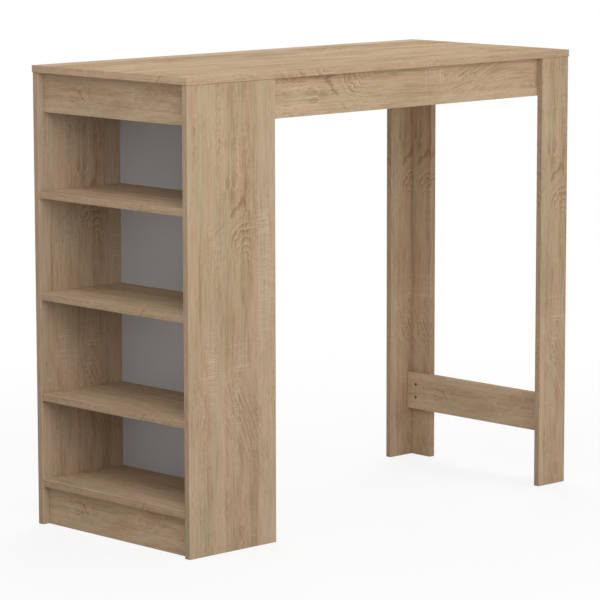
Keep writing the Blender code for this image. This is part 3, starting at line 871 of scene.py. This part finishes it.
def make_bracket_screws(material):
    """Two screws through each steel angle: one into the apron, one up into the tabletop."""
    mesh = pan_head_screw()
    mesh.materials.append(material)
    down = Vector((0, 0, -1))
    for side, inward in (("front", Vector((0, 1, 0))), ("rear", Vector((0, -1, 0)))):
        for number in (1, 2):
            bracket = f"bracket_{side}_{number}"
            low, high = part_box(bracket)
            middle = (low[0] + high[0]) / 2
            wall = low[1] if side == "front" else high[1]
            corner = Vector((middle, wall, high[2]))
            on_apron = corner + BRACKET_HOLE_REACH * down + BRACKET_STEEL * inward
            on_top = corner + BRACKET_HOLE_REACH * inward + BRACKET_STEEL * down
            drive_in(f"screw_{bracket}_apron", mesh, on_apron, inward)
            drive_in(f"screw_{bracket}_top", mesh, on_top, down)


def make_back_nails(material):
    """Nails through the back panel into the bottom shelf's inner edge."""
    mesh = wire_nail()
    mesh.materials.append(material)
    low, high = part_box("bottom_shelf")
    height = (low[2] + high[2]) / 2
    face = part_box("back_panel")[1][0]
    outward = Vector((1, 0, 0))
    for number in range(NAIL_COUNT):
        across = low[1] + (number + 0.5) / NAIL_COUNT * (high[1] - low[1])
        place = Vector((face, across, height))
        drive_in(f"nail_back_panel_{number + 1}", mesh, place, outward)


def make_camera():
    camera = bpy.data.objects.new("camera", bpy.data.cameras.new("camera"))
    bpy.context.collection.objects.link(camera)
    camera.data.sensor_width = CAMERA_SENSOR
    camera.data.lens = CAMERA_LENS
    heading = Matrix.Rotation(CAMERA_HEADING, 4, "Z")
    dip = Matrix.Rotation(math.pi / 2 + CAMERA_DIP, 4, "X")
    roll = Matrix.Rotation(CAMERA_ROLL, 4, "Z")
    camera.matrix_world = Matrix.Translation(CAMERA_PLACE) @ heading @ dip @ roll
    bpy.context.scene.camera = camera


def background_rays(shader):
    """1 for rays that should find a plain white background."""
    path = shader.add("ShaderNodeLightPath")
    seen = shader.maths("MAXIMUM", path.outputs["Is Camera Ray"], path.outputs["Is Glossy Ray"])
    return shader.maths("MAXIMUM", seen, path.outputs["Is Transmission Ray"])


def make_world():
    world = bpy.data.worlds.new("studio")
    bpy.context.scene.world = world
    world.use_nodes = True
    shader = Shader(world.node_tree)
    background = world.node_tree.nodes["Background"]
    sky = shader.mix(background_rays(shader), toned(WHITE, SKY_STRENGTH), opaque(WHITE))
    shader.feed(background.inputs["Color"], sky)


def floor_material():
    """Pale floor that looks white but for a faint shadow, and is see-through from below."""
    material, shader = empty_material("floor")
    distance = shader.add("ShaderNodeVectorMath", operation="LENGTH")
    shader.feed(distance.inputs[0], shader.place())
    near = shader.drop(distance.outputs["Value"], *SHADOW_FADE)
    glow = shader.add("ShaderNodeEmission").outputs[0]
    seen = shader.blend(shader.times(near, SHADOW_SHARE), glow, shader.diffuse(FLOOR_SEEN))
    upper_side = shader.blend(background_rays(shader), shader.diffuse(FLOOR_COLOUR), seen)
    from_below = shader.add("ShaderNodeNewGeometry").outputs["Backfacing"]
    clear = shader.add("ShaderNodeBsdfTransparent").outputs[0]
    show(shader, shader.blend(from_below, upper_side, clear))
    return material


def make_floor():
    shape = bmesh.new()
    bmesh.ops.create_grid(shape, x_segments=1, y_segments=1, size=FLOOR_SPAN / 2)
    mesh = bpy.data.meshes.new("floor")
    shape.to_mesh(mesh)
    shape.free()
    mesh.materials.append(floor_material())
    floor = bpy.data.objects.new("floor", mesh)
    bpy.context.collection.objects.link(floor)


def make_lamps():
    for name, lamp in LAMPS.items():
        light = bpy.data.lights.new(name, "AREA")
        light.size = LAMP_SIZE
        light.energy = lamp.power
        light.specular_factor = lamp.glint
        stand = bpy.data.objects.new(name, light)
        bpy.context.collection.objects.link(stand)
        bearing = math.radians(lamp.bearing)
        height = math.radians(lamp.height)
        level = math.cos(height)
        towards = Vector((level * math.cos(bearing), level * math.sin(bearing), math.sin(height)))
        stand.location = LAMP_AIM + LAMP_DISTANCE * towards
        stand.rotation_mode = "QUATERNION"
        stand.rotation_quaternion = (-towards).to_track_quat("-Z", "Y")


bpy.context.scene.view_settings.view_transform = "Standard"
make_camera()
make_world()
make_floor()
make_lamps()
materials = dress_nodes()
make_bracket_screws(materials["zinc_plate"])
make_back_nails(materials["nickel_plate"])
